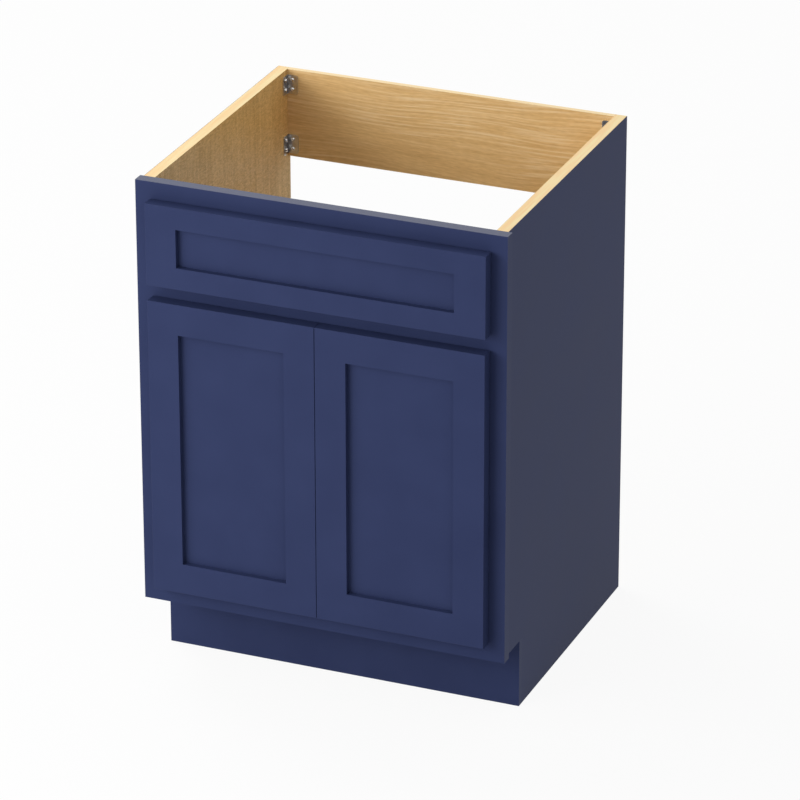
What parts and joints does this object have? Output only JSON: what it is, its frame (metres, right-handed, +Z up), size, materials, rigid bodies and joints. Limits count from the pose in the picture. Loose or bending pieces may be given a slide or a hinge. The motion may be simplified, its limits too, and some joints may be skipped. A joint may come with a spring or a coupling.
{
  "type": "vanity unit",
  "caption": "Framed vanity base cabinet with a fixed false drawer front over hinged recessed-panel doors, open at the top for a sink and at the back for pipes.",
  "frame": {"origin": "on the floor, under the middle of the overall box, doors included", "axes": "+Z up, +Y from the doors towards the wall, +X to the right as seen from the doors"},
  "size_m": [0.6096, 0.5564, 0.8255],
  "materials": {
    "navy_paint": "satin navy paint",
    "side_panel": "navy paint outside, clear wood veneer inside",
    "bare_wood": "clear-coated wood veneer",
    "bracket_steel": "dark zinc",
    "screw_steel": "bright zinc",
    "hinge_steel": "satin nickel plate",
    "bumper": "clear soft bumper"
  },
  "bodies": {
    "cabinet": {"bottom_frame_rail": "navy_paint", "bottom_panel": "bare_wood", "bracket_screws": "screw_steel", "false_front_bottom_rail": "navy_paint", "false_front_bumpers": "bumper", "false_front_left_stile": "navy_paint", "false_front_panel": "navy_paint", "false_front_right_stile": "navy_paint", "false_front_top_rail": "navy_paint", "hinge_arm_screws": "screw_steel", "left_false_front_bracket": "bracket_steel", "left_frame_stile": "navy_paint", "left_lower_hinge_arm": "hinge_steel", "left_lower_rail_bracket": "bracket_steel", "left_side_panel": "side_panel", "left_toe_kick_bracket": "bracket_steel", "left_upper_hinge_arm": "hinge_steel", "left_upper_rail_bottom_bracket": "bracket_steel", "left_upper_rail_top_bracket": "bracket_steel", "lower_back_rail": "bare_wood", "middle_frame_rail": "navy_paint", "right_false_front_bracket": "bracket_steel", "right_frame_stile": "navy_paint", "right_lower_hinge_arm": "hinge_steel", "right_lower_rail_bracket": "bracket_steel", "right_side_panel": "side_panel", "right_toe_kick_bracket": "bracket_steel", "right_upper_hinge_arm": "hinge_steel", "right_upper_rail_bottom_bracket": "bracket_steel", "right_upper_rail_top_bracket": "bracket_steel", "toe_kick_board": "navy_paint", "top_frame_rail": "navy_paint", "upper_back_rail": "bare_wood"},
    "left_door": {"left_door_bottom_rail": "navy_paint", "left_door_bumpers": "bumper", "left_door_hinge_stile": "navy_paint", "left_door_meeting_stile": "navy_paint", "left_door_panel": "navy_paint", "left_door_top_rail": "navy_paint", "left_hinge_cup_screws": "screw_steel", "left_hinge_pins": "hinge_steel", "left_lower_hinge_cup": "hinge_steel", "left_upper_hinge_cup": "hinge_steel"},
    "right_door": {"right_door_bottom_rail": "navy_paint", "right_door_bumpers": "bumper", "right_door_hinge_stile": "navy_paint", "right_door_meeting_stile": "navy_paint", "right_door_panel": "navy_paint", "right_door_top_rail": "navy_paint", "right_hinge_cup_screws": "screw_steel", "right_hinge_pins": "hinge_steel", "right_lower_hinge_cup": "hinge_steel", "right_upper_hinge_cup": "hinge_steel"}
  },
  "joints": [
    {"name": "left_door_swing", "type": "hinge", "parent": "cabinet", "child": "left_door", "pos_m": [-0.2723, -0.2667, 0.3916], "axis": [0, 0, -1], "range_deg": [0, 100]},
    {"name": "right_door_swing", "type": "hinge", "parent": "cabinet", "child": "right_door", "pos_m": [0.2723, -0.2667, 0.3916], "axis": [0, 0, 1], "range_deg": [0, 100]}
  ]
}
